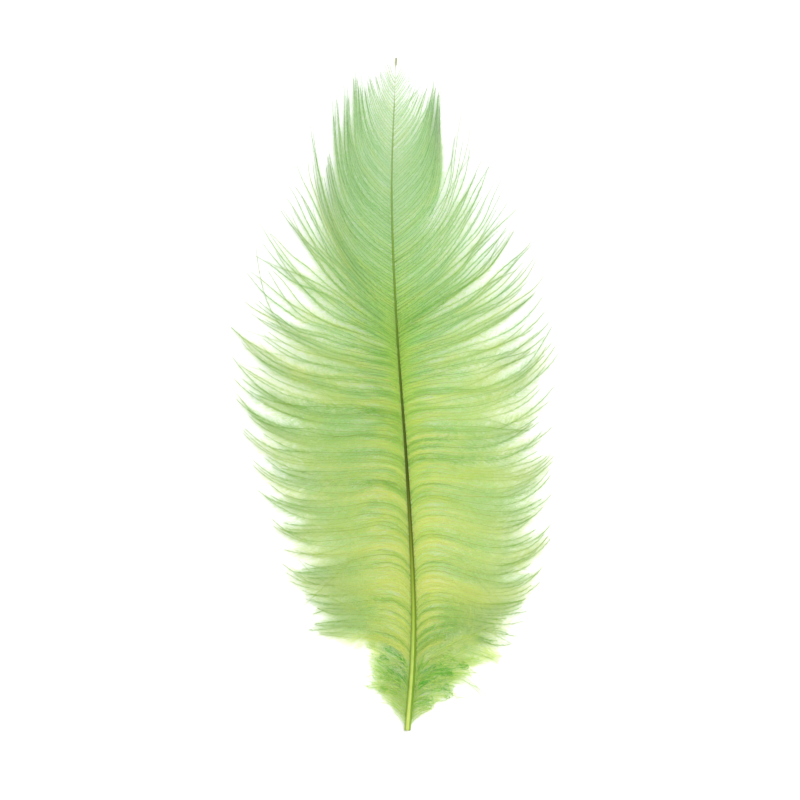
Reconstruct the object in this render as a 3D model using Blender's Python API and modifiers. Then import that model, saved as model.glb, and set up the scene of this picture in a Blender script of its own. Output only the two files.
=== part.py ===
"""Ostrich feather, dyed lime green, lying flat on a table with its outer face up.

Frame: +Y runs from the cut quill to the tip, +X to the right as seen from above, +Z up. The origin
is the bottom centre of the feather's bounding box. The shaft arches up off the table. Both vanes
fall from it to the table, where the outer part of every barb lies flat.
"""

import math

import bmesh
import bpy

MM = 0.001

# Driving dimensions, in millimetres. A place is a share of the shaft's length, 0 at the quill's cut
# end and 1 at the tip.
LENGTH = 280.0
VANE_THICKNESS = 2.0  # the springy depth of the barbs with their barbules
DOWN_THICKNESS = 2.6  # the short down beside the quill is fluffier
SHAFT_CLEARANCE = 0.4  # between the shaft and the barbs beside it

# Rows of (place, millimetres).
SHAFT_SIDEWAYS = ((0.00, 5.6), (0.10, 7.8), (0.20, 8.1), (0.40, 5.2), (0.60, 1.2), (0.80, -0.9), (1.00, 0.9))
SHAFT_UNDERSIDE = ((0.00, 0.0), (0.12, 2.4), (0.30, 7.4), (0.50, 10.5), (0.75, 8.2), (0.92, 3.2), (1.00, 0.6))
SHAFT_DIAMETER = ((0.00, 2.9), (0.12, 2.6), (0.25, 1.9), (0.40, 1.3), (0.60, 0.9), (0.80, 0.6), (1.00, 0.3))

# Rows of (place of the root, how far the barb's end lies outwards, how far it lies towards the tip,
# the way it points at its end in degrees from the shaft's direction, the length of the Bezier
# handle there as a share of the reach).
VANE_LEFT = (
    (0.104, 38.9, 9.5, 100, 0.35), (0.20, 48.9, 6.5, 78, 0.35), (0.30, 59.4, 12.5, 60, 0.38),
    (0.40, 66.4, 18.0, 52, 0.38), (0.50, 66.9, 27.0, 46, 0.36), (0.60, 52.4, 41.0, 34, 0.38),
    (0.68, 36.2, 50.0, 14, 0.42), (0.74, 26.2, 50.5, 5, 0.45), (0.80, 19.2, 41.0, 6, 0.45),
    (0.87, 14.2, 25.5, 10, 0.40), (0.92, 10.0, 13.0, 20, 0.35), (0.98, 3.0, 2.5, 30, 0.30),
)
VANE_RIGHT = (
    (0.104, 38.0, 3.0, 115, 0.40), (0.20, 47.5, 5.0, 80, 0.38), (0.30, 56.0, 9.0, 56, 0.42),
    (0.40, 60.0, 18.0, 44, 0.42), (0.50, 60.0, 26.0, 38, 0.42), (0.60, 52.0, 37.0, 34, 0.40),
    (0.68, 41.0, 45.0, 22, 0.40), (0.74, 31.0, 43.5, 12, 0.42), (0.80, 22.5, 37.0, 8, 0.45),
    (0.87, 17.5, 25.0, 8, 0.42), (0.92, 12.0, 11.5, 20, 0.35), (0.98, 3.0, 2.5, 30, 0.30),
)
DOWN_LEFT = (
    (0.012, 5.0, 1.6, 80, 0.30), (0.035, 12.5, 4.4, 80, 0.30), (0.060, 17.0, 6.2, 85, 0.30),
    (0.095, 19.0, 8.0, 90, 0.30),
)
DOWN_RIGHT = (
    (0.012, 5.0, 1.6, 80, 0.30), (0.035, 15.0, 1.7, 95, 0.30), (0.060, 23.8, 1.7, 95, 0.30),
    (0.095, 33.0, 0.5, 115, 0.35),
)

# The other end of every barb. Rows of (place, degrees from the shaft) and (place, share of the reach).
ROOT_HEADING = ((0.00, 30.0), (0.50, 26.0), (0.70, 33.0), (0.85, 42.0), (1.00, 45.0))
ROOT_HANDLE = ((0.00, 0.32), (0.30, 0.30), (0.50, 0.24), (0.75, 0.30), (1.00, 0.33))

LIES_FLAT_FROM = 0.8  # past this share of its length a barb lies on the table
LOCKS = 13  # the edge of a vane parts into this many locks of barbs
DOWN_LOCKS = 2
LOCK_NOTCH = 0.08  # how deep the edge dips between two locks, as a share of the reach
COLUMNS_PER_LOCK = 4
BARB_CELLS = 10  # grid cells from the root of a barb to its end
SHAFT_STATIONS = 60

LIME = (0.46, 0.66, 0.17, 1.0)
DOWN_GREEN = (0.33, 0.58, 0.12, 1.0)
OLIVE = (0.30, 0.38, 0.06, 1.0)


def smooth(rows, place, column=1):
    """One column of the rows at a place, on a smooth curve through the rows."""
    places = [row[0] for row in rows]
    values = [row[column] for row in rows]
    place = min(max(place, places[0]), places[-1])
    last = len(rows) - 1
    k = min(sum(p <= place for p in places) - 1, last - 1)
    slopes = []
    for i in (k, k + 1):
        low, high = max(i - 1, 0), min(i + 1, last)
        slopes.append((values[high] - values[low]) / (places[high] - places[low]))
    span = places[k + 1] - places[k]
    u = (place - places[k]) / span
    return (
        values[k] * (1 + 2 * u) * (1 - u) ** 2
        + slopes[0] * span * u * (1 - u) ** 2
        + values[k + 1] * u * u * (3 - 2 * u)
        + slopes[1] * span * u * u * (u - 1)
    )


def ease(u):
    """0 up to 0, 1 from 1 on, and a smooth step between them."""
    u = min(max(u, 0.0), 1.0)
    return u * u * (3 - 2 * u)


def along_shaft(place):
    return LENGTH * (place - 0.5)


def barb_point(side, rows, place, share, notch):
    """A point on the underside of the barb rooted at a place, at a share of its length.

    In plan the barb is a cubic Bezier curve: it leaves the shaft steeply, turns outwards and bends
    back towards the tip. It falls from the height of the shaft to the table.
    """
    out = smooth(rows, place, 1) * (1 - notch)
    ahead = smooth(rows, place, 2) * (1 - notch)
    reach = math.hypot(out, ahead)
    root_turn = math.radians(smooth(ROOT_HEADING, place))
    end_turn = math.radians(smooth(rows, place, 3))
    root_handle = smooth(ROOT_HANDLE, place) * reach
    end_handle = smooth(rows, place, 4) * reach
    plan = (
        (0.0, 0.0),
        (root_handle * math.sin(root_turn), root_handle * math.cos(root_turn)),
        (out - end_handle * math.sin(end_turn), ahead - end_handle * math.cos(end_turn)),
        (out, ahead),
    )
    rest = 1 - share
    weights = (rest**3, 3 * rest**2 * share, 3 * rest * share**2, share**3)
    outwards = sum(weight * point[0] for weight, point in zip(weights, plan))
    forwards = sum(weight * point[1] for weight, point in zip(weights, plan))
    root = smooth(SHAFT_DIAMETER, place) / 2 + SHAFT_CLEARANCE
    height = smooth(SHAFT_UNDERSIDE, place) * (1 - ease(share / LIES_FLAT_FROM))
    return smooth(SHAFT_SIDEWAYS, place) + side * (root + outwards), along_shaft(place) + forwards, height


def material(name, colour, roughness):
    made = bpy.data.materials.new(name)
    made.use_nodes = True
    shader = made.node_tree.nodes["Principled BSDF"]
    shader.inputs["Base Color"].default_value = colour
    shader.inputs["Roughness"].default_value = roughness
    shader.inputs["Metallic"].default_value = 0.0
    return made


def shaft(collection):
    """The quill and the rachis that it grows into: one round shaft that tapers to the tip."""
    curve = bpy.data.curves.new("shaft", "CURVE")
    curve.dimensions = "3D"
    curve.bevel_depth = MM
    curve.bevel_resolution = 4
    curve.use_fill_caps = True
    line = curve.splines.new("POLY")
    line.points.add(SHAFT_STATIONS - 1)
    for i, point in enumerate(line.points):
        place = i / (SHAFT_STATIONS - 1)
        radius = smooth(SHAFT_DIAMETER, place) / 2
        height = smooth(SHAFT_UNDERSIDE, place) + radius
        point.co = (smooth(SHAFT_SIDEWAYS, place) * MM, along_shaft(place) * MM, height * MM, 1.0)
        point.radius = radius
    curve.materials.append(material("shaft", OLIVE, 0.35))
    made = bpy.data.objects.new("shaft", curve)
    collection.objects.link(made)
    return made


def barbs(collection, name, side, rows, locks, thickness, colour):
    """All the barbs of one strip as one soft pad: a grid laid along them and thickened upwards."""
    grid = bmesh.new()
    bmesh.ops.create_grid(grid, x_segments=locks * COLUMNS_PER_LOCK, y_segments=BARB_CELLS, size=0.5)
    first, last = rows[0][0], rows[-1][0]
    for vertex in grid.verts:
        across, share = vertex.co.x + 0.5, vertex.co.y + 0.5
        place = first + (last - first) * across
        notch = LOCK_NOTCH * share**2 * (0.5 - 0.5 * math.cos(2 * math.pi * locks * across))
        vertex.co = [MM * c for c in barb_point(side, rows, place, share, notch)]
    for face in grid.faces:
        face.smooth = True
        face.normal_update()
        if face.normal.z < 0:
            face.normal_flip()
    mesh = bpy.data.meshes.new(name)
    grid.to_mesh(mesh)
    grid.free()
    mesh.materials.append(material(name, colour, 0.8))
    made = bpy.data.objects.new(name, mesh)
    collection.objects.link(made)
    thicken = made.modifiers.new("thickness", "SOLIDIFY")
    thicken.thickness = thickness * MM
    thicken.offset = 1.0
    return made


def stand_on_origin(objects):
    """Moves the feather so that the origin is the bottom centre of its box."""
    bpy.context.view_layer.update()
    graph = bpy.context.evaluated_depsgraph_get()
    corners = [o.matrix_world @ v.co for o in objects for v in o.evaluated_get(graph).to_mesh().vertices]
    low = [min(corner[axis] for corner in corners) for axis in range(3)]
    high = [max(corner[axis] for corner in corners) for axis in range(3)]
    for made in objects:
        made.location = (-(low[0] + high[0]) / 2, -(low[1] + high[1]) / 2, -low[2])


def main():
    for old in list(bpy.data.objects):
        bpy.data.objects.remove(old)
    collection = bpy.data.collections.new("ostrich_feather")
    bpy.context.scene.collection.children.link(collection)
    stand_on_origin([
        shaft(collection),
        barbs(collection, "vane_left", -1, VANE_LEFT, LOCKS, VANE_THICKNESS, LIME),
        barbs(collection, "vane_right", 1, VANE_RIGHT, LOCKS, VANE_THICKNESS, LIME),
        barbs(collection, "down_left", -1, DOWN_LEFT, DOWN_LOCKS, DOWN_THICKNESS, DOWN_GREEN),
        barbs(collection, "down_right", 1, DOWN_RIGHT, DOWN_LOCKS, DOWN_THICKNESS, DOWN_GREEN),
    ])


main()
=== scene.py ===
"""Looks of a dyed lime green ostrich feather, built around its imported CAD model.

Every barb is a tapering strand (the ramus) with fine barbules all along it. Barbs follow the flow
of their vane, and gather into pointed locks towards its edge.
"""

import math

import bpy
import numpy as np
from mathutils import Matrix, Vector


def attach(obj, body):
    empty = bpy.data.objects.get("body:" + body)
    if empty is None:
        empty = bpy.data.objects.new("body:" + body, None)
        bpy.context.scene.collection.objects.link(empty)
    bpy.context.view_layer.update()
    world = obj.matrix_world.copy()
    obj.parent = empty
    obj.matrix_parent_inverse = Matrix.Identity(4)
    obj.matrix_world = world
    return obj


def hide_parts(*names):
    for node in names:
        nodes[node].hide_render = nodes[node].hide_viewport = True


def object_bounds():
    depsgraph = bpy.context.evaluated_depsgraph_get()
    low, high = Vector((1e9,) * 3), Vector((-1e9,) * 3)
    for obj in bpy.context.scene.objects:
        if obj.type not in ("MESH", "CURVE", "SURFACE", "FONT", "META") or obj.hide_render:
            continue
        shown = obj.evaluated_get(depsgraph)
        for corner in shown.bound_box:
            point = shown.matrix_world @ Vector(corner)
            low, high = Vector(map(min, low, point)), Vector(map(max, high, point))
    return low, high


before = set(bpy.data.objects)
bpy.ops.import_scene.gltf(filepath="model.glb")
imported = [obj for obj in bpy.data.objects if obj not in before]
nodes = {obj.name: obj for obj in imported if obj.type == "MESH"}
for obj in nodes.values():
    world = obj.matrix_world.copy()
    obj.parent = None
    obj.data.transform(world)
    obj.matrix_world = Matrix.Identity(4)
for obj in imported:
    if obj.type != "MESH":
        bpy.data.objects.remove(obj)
cad_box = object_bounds()

MM = 0.001
TURN = 2 * math.pi
SEED = 5

# The vane's flow, in millimetres. A place is a share of the shaft's length, 0 at the quill's cut end
# and 1 at the tip. Rows of (place of the root, how far outwards and how far towards the tip the barb
# ends, its heading there in degrees from the shaft, the Bezier handle there as a share of the reach).
VANE_LEFT = (
    (.104, 40, 9.5, 92, .35), (.2, 51, 7.5, 60, .48), (.3, 61.5, 13.5, 48, .54), (.4, 67.5, 18.5, 44, .52),
    (.5, 68, 25.5, 41, .52), (.55, 63, 32, 40, .49), (.585, 53, 47, 34, .44), (.61, 45, 56, 24, .42),
    (.64, 35.5, 65, 8, .48), (.705, 26.7, 64.5, 4, .5), (.77, 18.5, 54.5, 2, .48), (.81, 15, 45, 3, .45),
    (.86, 12, 30.5, 8, .42), (.9, 9.4, 21, 14, .38), (.935, 6.2, 13, 18, .35), (.968, 2.6, 7, 20, .3),
)
VANE_RIGHT = (
    (.104, 38.5, 3, 115, .4), (.2, 50.5, 4.5, 48, .54), (.3, 58, 9, 38, .57), (.4, 61, 17.5, 37, .55),
    (.5, 61, 26, 36, .48), (.567, 56.5, 35.5, 34, .42), (.605, 50, 45.5, 30, .4), (.63, 43.5, 51, 24, .42),
    (.665, 36.5, 50, 22, .42), (.7, 28.5, 59, 8, .48), (.72, 22.5, 62, 4, .5), (.78, 19, 49.5, 5, .48),
    (.83, 17, 36, 8, .45), (.88, 13, 22, 20, .4), (.92, 8.2, 12, 32, .35), (.968, 2.8, 6, 32, .3),
)
# The even layer of down: rows of (place, outwards, towards the tip, end heading).
DOWN_LEFT = (
    (.008, 4.6, 5.4, 50), (.022, 10.4, 9, 58), (.05, 15, 11, 62), (.08, 17.4, 12.2, 68),
    (.115, 19.5, 9.5, 80),
)
DOWN_RIGHT = (
    (.008, 4.6, 4.2, 70), (.016, 8.6, 5.2, 85), (.03, 13.5, 4.6, 95), (.042, 17.5, 3.6, 100),
    (.062, 20.5, 4, 100), (.09, 29, 4, 105), (.115, 38, -2, 120),
)
# Curly bundles over the even layer: rows of (place, outwards, towards the tip, end heading, tone:
# dark below 0 and pale above).
BUNDLES_LEFT = (
    (.086, 11.3, 11.3, 80, -3), (.061, 14.6, 12, 60, -2.2), (.064, 8.8, 14, 40, 2.6),
    (.078, 12, 9.5, 50, 3), (.046, 15.5, 11, 65, -1.2), (.036, 11.5, 9, 70, .6), (.07, 6, 9, 30, -2.8),
    (.09, 15.5, 4, 85, 1.6), (.054, 13, 12.5, 45, -1.6), (.026, 9, 8, 60, .2), (.058, 17.5, 8, 75, .2),
    (.044, 13.5, 7, 80, 1),
)
BUNDLES_RIGHT = (
    (.058, 15, 7.5, 85, -3.2), (.072, 22.5, 5.5, 95, -2.6), (.034, 11, 3.7, 90, -2),
    (.044, 18, 5.5, 85, -1.8), (.072, 28, 15.5, 60, 1.2), (.084, 34, 11, 75, .8), (.056, 12, 16.5, 45, .2),
    (.05, 8.5, 12.5, 40, 1.4), (.08, 20, 16, 50, -1.4), (.046, 19.5, 9.5, 75, .8), (.096, 24, 12, 65, 1.4),
    (.022, 9.5, 4.5, 80, .8), (.067, 29, 3, 100, -.8), (.064, 16, 10.5, 60, -.8), (.07, 21, 23, 42, 1.6),
    (.084, 29, 21, 50, .4), (.076, 14.5, 21, 32, -2), (.09, 25, 19, 50, 2.4),
)
# Tangles in the down: rows of (place, outwards, radius, tone).
KNOTS_LEFT = ((.106, 12.5, 2.4, -2.6), (.088, 9, 2.2, -3), (.062, 11.5, 1.8, -1.6))
KNOTS_RIGHT = (
    (.085, 14.5, 2.8, -3.6), (.096, 21.5, 1.9, -3), (.064, 15, 2.4, -3), (.046, 7, 2.2, -2.4),
    (.07, 9.5, 2.4, -1.4), (.053, 16, 1.8, -2), (.033, 6.5, 1.4, -2),
)
# How steeply a barb leaves the shaft, in degrees from it, and the length of its Bezier handle there.
ROOT_HEADING = ((0, 30), (.4, 32), (.5, 36), (.57, 50), (.64, 60), (.7, 58), (.8, 51), (.93, 44), (1, 42))
ROOT_HANDLE = (
    (0, .32), (.2, .34), (.3, .33), (.43, .18), (.55, .14), (.63, .28), (.7, .4), (.85, .4), (.93, .3),
    (1, .28),
)

# The locks that a vane's edge parts into: rows of (place where a lock begins, share of a barb's length
# where the gap there opens, how far the barbs run together, how far their ends turn towards the tip
# in millimetres, length, share of the barbules that they keep). The last row only ends the list.
LOCKS_LEFT = (
    (.104, .9, .3, 0, 1, .9), (.133, .88, .35, 0, .97, .9), (.165, .86, .35, 1, 1.01, .9),
    (.2, .88, .3, 0, .99, .9), (.232, .84, .35, 1, .98, .9), (.262, .88, .35, -1, 1, .9),
    (.297, .8, .45, 1, .98, .9), (.322, .86, .4, 1, .98, .9), (.346, .74, .4, 2, .97, .9),
    (.379, .76, .4, 0, .98, .9), (.408, .84, .5, 1, 1, 1), (.446, .68, .5, 0, 1, 1),
    (.476, .86, .15, 0, 1.01, 1), (.51, .8, .15, 0, 1.01, 1), (.555, .7, .25, 0, 1.01, 1),
    (.585, .78, .1, 0, 1, .9), (.625, .62, .2, 0, 1, .9), (.662, .42, .4, 0, .86, .7),
    (.706, .31, .5, 0, 1, .65), (.748, .48, .45, 0, .97, .65), (.79, .33, .4, 0, .99, .7),
    (.855, .45, .3, 0, .99, .6), (.905, .5, .2, 0, 1, .4), (.97, .8, 0, 0, 1, .3),
)
LOCKS_RIGHT = (
    (.104, .92, .3, 0, 1, .9), (.135, .86, .35, 0, .99, .9), (.165, .88, .35, 1, 1, .9),
    (.198, .86, .4, 0, 1.01, .9), (.23, .9, .3, 0, 1, .9), (.262, .86, .35, 0, 1, .9),
    (.292, .86, .35, 1, .98, .9), (.321, .84, .35, 0, .98, .8), (.352, .86, .35, 0, 1, .8),
    (.384, .76, .4, 1, .99, .8), (.418, .72, .4, 0, 1, .9), (.448, .84, .4, 1, 1, .9),
    (.478, .82, .5, 0, 1, 1), (.512, .74, .4, 1, 1, 1), (.541, .7, .2, 0, 1.01, .9),
    (.567, .72, .5, 0, 1, .9), (.592, .7, .6, 0, 1, .9), (.614, .6, .2, 0, 1, .6),
    (.642, .5, .5, 0, 1, .8), (.685, .35, .1, 0, 1.01, .3), (.718, .3, .5, 0, 1, .9),
    (.798, .55, .35, 0, 1, .8), (.856, .5, .3, 0, 1, .6), (.91, .55, .2, 0, 1, .4), (.97, .8, 0, 0, 1, .3),
)
# Tufts of a few barbs inside the locks: (place, strongest pull, share of the length where they start).
TUFTS = ((0, .8, .72), (.42, .8, .66), (.56, .65, .6), (.7, .45, .5), (.85, .3, .55), (1, .1, .6))

# Barbs near the quill bend away from each other only close to their ends: (place, power).
BEND_POWER = ((0, 4), (.4, 4), (.56, 3), (1, 2.5))

# Where barbs part inside a vane and close again: (place, share, half length in share, width in mm).
LENSES_LEFT = ((.343, .5, .15, 2.2),)
LENSES_RIGHT = ((.541, .72, .2, 2.6), (.514, .6, .16, 2))

# Loose barbs over the others: (side, place, outwards, towards the tip, end heading, handle, share of
# the barbules).
LOOSE_BARBS = (
    (-1, .277, 44.6, -26.2, 130, .5, .5), (-1, .437, 66.7, 41, 34, .33, .4),
    (-1, .445, 61.3, 39.2, 30, .33, .4), (-1, .487, 69.5, 24.2, 79, .4, .4),
    (-1, .466, 69.5, 23, 70, .4, .4), (-1, .51, 67, 25, 68, .4, .5), (1, .695, 38.3, 52.5, 42, .5, .3),
    (1, .6, 47.3, 41.7, 8, .25, .5), (1, .28, 33.8, -20.8, 125, .5, .5), (1, .085, 33, 19, 75, .4, .8),
    (1, .42, 45, 8, 118, .45, .4), (1, .15, 40, -6, 120, .4, .6), (-1, .113, 38, 25, 70, .3, .5),
    (1, .088, 31.5, -12.5, 140, .45, .2), (1, .08, 30, -10, 140, .45, .2),
    (1, .095, 32.5, -6, 120, .45, .2), (1, .125, 12, 1, 140, .5, .3), (1, .132, 11, 1.2, 140, .5, .3),
)

# Distances between neighbouring barbs along the shaft, in millimetres.
BARB_PITCH, DOWN_PITCH = 1.5, 0.6
PITCH_JITTER = 0.12  # how unevenly the barbs sit, as a share of their pitch
# Barbs sit closer together where the vanes fan out: (place, share of the pitch).
FAN = ((0, 1), (.45, 1), (.51, .9), (.555, .64), (.61, .64), (.65, .92), (.72, 1), (1, 1))
SAMPLES = 25  # points along a barb
SHARES = np.linspace(0, 1, SAMPLES)[None, :]  # of the barb's length, at those points
INSIDE_SHAFT = 0.8  # how far out a barb starts, as a share of the shaft's radius
LIES_FLAT_FROM = 0.8  # past this share of its length a barb lies on the table
LOWEST_BARB, LOWEST_BARBULE = 0.25, 0.05  # heights above the table in millimetres
FULL_SIZE = 50  # a barb that reaches less far than this is finer and bends less

# How barbs gather, stray and bend. Lengths are in millimetres and angles in degrees.
TUFT_SIZE = (1.3, 3.7)  # barbs in a tuft, rounded
GATHERED = 1.06  # the share of a barb's length where its lock or tuft would close fully
STRAYS, STRAY_PULL = 0.06, 0.3  # share of the barbs that stray, and how far they keep to their lock
BEND, STRAY_BEND = 1.3, 7
DRIFT, DRIFT_WAVES = 0.15, 12
WAVE, WAVES = 0.26, (1, 2, 3, 5)  # height of the slowest wave, and the waves' frequencies
LENS_SPREAD = 0.018  # how far along the shaft a lens pushes barbs, as a place
LIFT, END_CURL = (0.2, 1.4), 1.2  # how high strands lie over each other, and their ends curl up

# The down beside the quill.
DOWN_HANDLE = 0.32  # the Bezier handle at the end of a down barb
CURL = 0.07  # radius of the down's curls, as a share of a barb's reach
EVEN_TONE, EVEN_LIFT, EVEN_UNRULY = 1.8, 0.2, 0.4
BUNDLE_SIZE, BUNDLE_SPREAD = 7, 0.006  # barbs in a bundle of down, and how far apart they start
BUNDLE_UNRULY, BUNDLE_FINENESS = 1.3, 0.5
FIRST_BUNDLE = 0.008  # the lowest place where a barb of a bundle starts
KNOT_BARBS, KNOT_FINENESS = 7, 0.07
KNOT_LIFT = (1.3, 2.8)  # heights of a tangle's barbs above the table in millimetres
LOOSE_LIFT = 2.2  # how high the outer part of a loose barb lies over the others, in millimetres

# Widths of a barb's ramus where it leaves the shaft, in millimetres: rows of (place, width).
VANE_RAMUS = ((0, .44), (.45, .42), (.6, .3), (.85, .22), (1, .2))
DOWN_RAMUS = ((0, .38), (1, .38))
LOOSE_RAMUS = ((0, .32), (1, .28))
VANE_RAMUS_END, DOWN_RAMUS_END, LOOSE_RAMUS_END = 0.12, 0.08, 0.06  # widths at the barb's end

# The barbules along a barb: rows of (share of the barb's length, value). The density is a number in
# a millimetre, and angles are in degrees from the barb.
BARBULE_DENSITY = ((0, 38), (.05, 27), (.2, 19.5), (.5, 19.5), (.7, 23), (.92, 23), (1, 14))
BARBULE_LENGTH = ((0, 2), (.1, 2.5), (.25, 2.8), (.55, 2.9), (.75, 2.1), (.88, 1.4), (1, .8))
BARBULE_ANGLE = ((0, 64), (.06, 42), (.2, 36), (.6, 35), (.75, 26), (.9, 18), (1, 12))
BARBULE_WIDTH = ((0, .11), (.3, .1), (.6, .095), (.85, .085), (1, .065))
DOWN_BARBULES = 0.4  # share of the density that down has
FEWEST_BARBULES = 4
LAST_BARBULE = 0.985  # share of the barb's length
TIP_TURN, TIP_DROP = 0.55, 0.12  # the outer half of a barbule turns back to its barb and droops
# Some barbules are longer and thinner, stand out further and fill the gaps between the strands with
# a haze: rows of (share of the barb's length, share of the barbules).
HAZE = ((0, 0), (.4, .1), (.6, .45), (.85, .6), (1, .45))
HAZE_LENGTH, HAZE_WIDTH, HAZE_ANGLE = 2.3, 0.7, 2  # against the other barbules
# The outer barbules are long and fluffy near the quill, and short and close to their barb towards the
# feather's tip: rows of (place, share of the length).
OUTER_FLUFF = ((.1, 1.5), (.4, 1.4), (.5, 1.05), (.58, .75), (.68, .7), (.85, .6), (1, .5))

# The shaft's surface lies just inside the CAD shaft. Angles are in degrees to the right of the top.
SHAFT_STATIONS, SHAFT_SIDES = 220, 24
SHAFT_FIT = 0.99  # of the CAD shaft's radius
GROOVE_DEPTH = ((0, .04), (.05, .26), (.3, .34), (.5, .18), (.75, 0), (1, 0))
GROOVE_AT, GROOVE_WIDTH = 42, 20
RIDGE_AT, RIDGE_WIDTH, RIDGE_HEIGHT = -4, 40, 0.06
# The shaft is thicker past its middle and at its dry end: rows of (place, added radius in mm).
ADDED_RADIUS = ((0, 0), (.6, 0), (.68, .08), (.92, .08), (.95, 0), (.986, 0), (.99, .2), (1, .16))
# The hollow in the quill's cut end: its rim and its floor as shares of the radius, and its depth.
HOLLOW_RIM, HOLLOW_FLOOR, HOLLOW_DEPTH = 0.72, 0.62, 4


def rows_at(rows, place, column=1):
    """One column of the rows at each place, on a smooth curve through the rows."""
    table = np.array(rows, float)
    x, y = table[:, 0], table[:, column]
    slopes = np.gradient(y, x)
    place = np.clip(place, x[0], x[-1])
    k = np.clip(np.searchsorted(x, place, side="right") - 1, 0, len(x) - 2)
    span = x[k + 1] - x[k]
    u = (place - x[k]) / span
    start = y[k] * (1 + 2 * u) * (1 - u) ** 2 + slopes[k] * span * u * (1 - u) ** 2
    return start + y[k + 1] * u * u * (3 - 2 * u) + slopes[k + 1] * span * u * u * (u - 1)


def ease(u):
    """0 up to 0, 1 from 1 on, and a smooth step between them."""
    u = np.clip(u, 0.0, 1.0)
    return u * u * (3 - 2 * u)


class Shaft:
    """The line and the radius of the CAD shaft at any place."""

    STATIONS = 60

    def __init__(self, node):
        points = np.array([v.co for v in node.data.vertices])
        self.low, self.high = points[:, 1].min(), points[:, 1].max()
        self.length = self.high - self.low
        edges = np.linspace(self.low, self.high, self.STATIONS)
        near = [points[np.abs(points[:, 1] - y) < (edges[1] - edges[0]) / 2] for y in edges]
        self.y = edges
        self.x = np.array([(n[:, 0].min() + n[:, 0].max()) / 2 for n in near])
        self.z = np.array([(n[:, 2].min() + n[:, 2].max()) / 2 for n in near])
        self.radius = np.array([np.ptp(n[:, 0]) / 2 for n in near])

    def at(self, place):
        """x, y, z and radius at each place, in metres. Past either end y runs on."""
        y = self.low + self.length * place
        x, z, radius = (np.interp(y, self.y, values) for values in (self.x, self.z, self.radius))
        return x, y, z, radius


shaft_line = Shaft(nodes["shaft"])
PER_MM = MM / shaft_line.length  # turns millimetres along the shaft into a place


def barb_curve(side, place, out, ahead, end_turn, end_handle, share):
    """The point of a barb at a share of its length, in metres.

    In plan a barb is a cubic Bezier curve. It falls from the height of the shaft to the table.
    """
    reach = np.hypot(out, ahead)
    root_turn, end_turn = np.radians(rows_at(ROOT_HEADING, place)), np.radians(end_turn)
    root_handle, end_handle = rows_at(ROOT_HANDLE, place) * reach, end_handle * reach
    rest = 1 - share
    w1, w2, w3 = 3 * rest**2 * share, 3 * rest * share**2, share**3
    outwards = w1 * root_handle * np.sin(root_turn) + w3 * out
    outwards = outwards + w2 * (out - end_handle * np.sin(end_turn))
    forwards = w1 * root_handle * np.cos(root_turn) + w3 * ahead
    forwards = forwards + w2 * (ahead - end_handle * np.cos(end_turn))
    x, y, z, radius = shaft_line.at(place)
    height = z * (1 - ease(share / LIES_FLAT_FROM))
    start = INSIDE_SHAFT * radius
    return np.stack([x + side * (start + outwards * MM), y + forwards * MM, height], axis=-1)


def flow(side, rows, place, share):
    """The point of a vane's flow at a place and a share of a barb's length."""
    out, ahead, end_turn, end_handle = (rows_at(rows, place, column) for column in (1, 2, 3, 4))
    return barb_curve(side, place, out, ahead, end_turn, end_handle, share)


def groups(rng, place, least, most):
    """Groups neighbouring barbs. Gives each barb's group and each group's middle place."""
    group, centres, start = np.zeros(len(place), int), [], 0
    while start < len(place):
        size = max(1, int(round(rng.uniform(least, most))))
        end = min(start + size, len(place))
        group[start:end] = len(centres)
        centres.append(place[start:end].mean())
        start = end
    return group, np.array(centres)


def drift(rng, place, share):
    """A smooth shift that neighbouring barbs share, so that they lie closer here and wider there."""
    total = np.zeros(np.broadcast(place, share).shape)
    for _ in range(DRIFT_WAVES):
        across, along = rng.uniform(8.0, 40.0), rng.uniform(-2.2, 2.2)
        phase, height = rng.uniform(0, TURN), rng.normal(0, DRIFT * PER_MM)
        total += height * np.sin(TURN * (across * place + along * share) + phase)
    return total * ease(share * 1.5)


def crowding(points, even):
    """How much closer each point lies to the barbs beside it than in an even vane, from -1 to 1."""
    def spacing(lines):
        gaps = np.linalg.norm(np.diff(lines[:, :, :2], axis=0), axis=2)
        gaps = np.concatenate([gaps[:1], gaps, gaps[-1:]])
        return gaps[:-1] + gaps[1:]
    closer = 1 - spacing(points) / np.maximum(spacing(even), 0.0002)
    closer = np.clip(closer, -1, 1)
    for _ in range(2):
        closer = (np.roll(closer, 1, axis=1) + 2 * closer + np.roll(closer, -1, axis=1)) / 4
    return closer


def root_places(rng, first, last):
    """Where the barbs leave the shaft: a pitch apart, and closer where the vane fans out."""
    grid = np.linspace(first, last, 500)
    crowded = np.cumsum(1 / rows_at(FAN, grid))
    count = int(round(crowded[-1] * (grid[1] - grid[0]) / PER_MM / BARB_PITCH))
    place = np.interp(np.linspace(crowded[0], crowded[-1], count), crowded, grid)
    return np.sort(place + rng.normal(0, PITCH_JITTER * BARB_PITCH * PER_MM, count))


def locks_at(locks, place):
    """For each barb: where its gap opens, its lock's middle place, and the lock's other columns."""
    table = np.array(locks, float)
    k = np.clip(np.searchsorted(table[:, 0], place, side="right") - 1, 0, len(table) - 2)
    within = (place - table[k, 0]) / (table[k + 1, 0] - table[k, 0])
    opens = table[k, 1] * (1 - within) + table[k + 1, 1] * within
    centre = (table[k, 0] + table[k + 1, 0]) / 2
    return opens, centre, *(table[k, column] for column in (2, 3, 4, 5))


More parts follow.
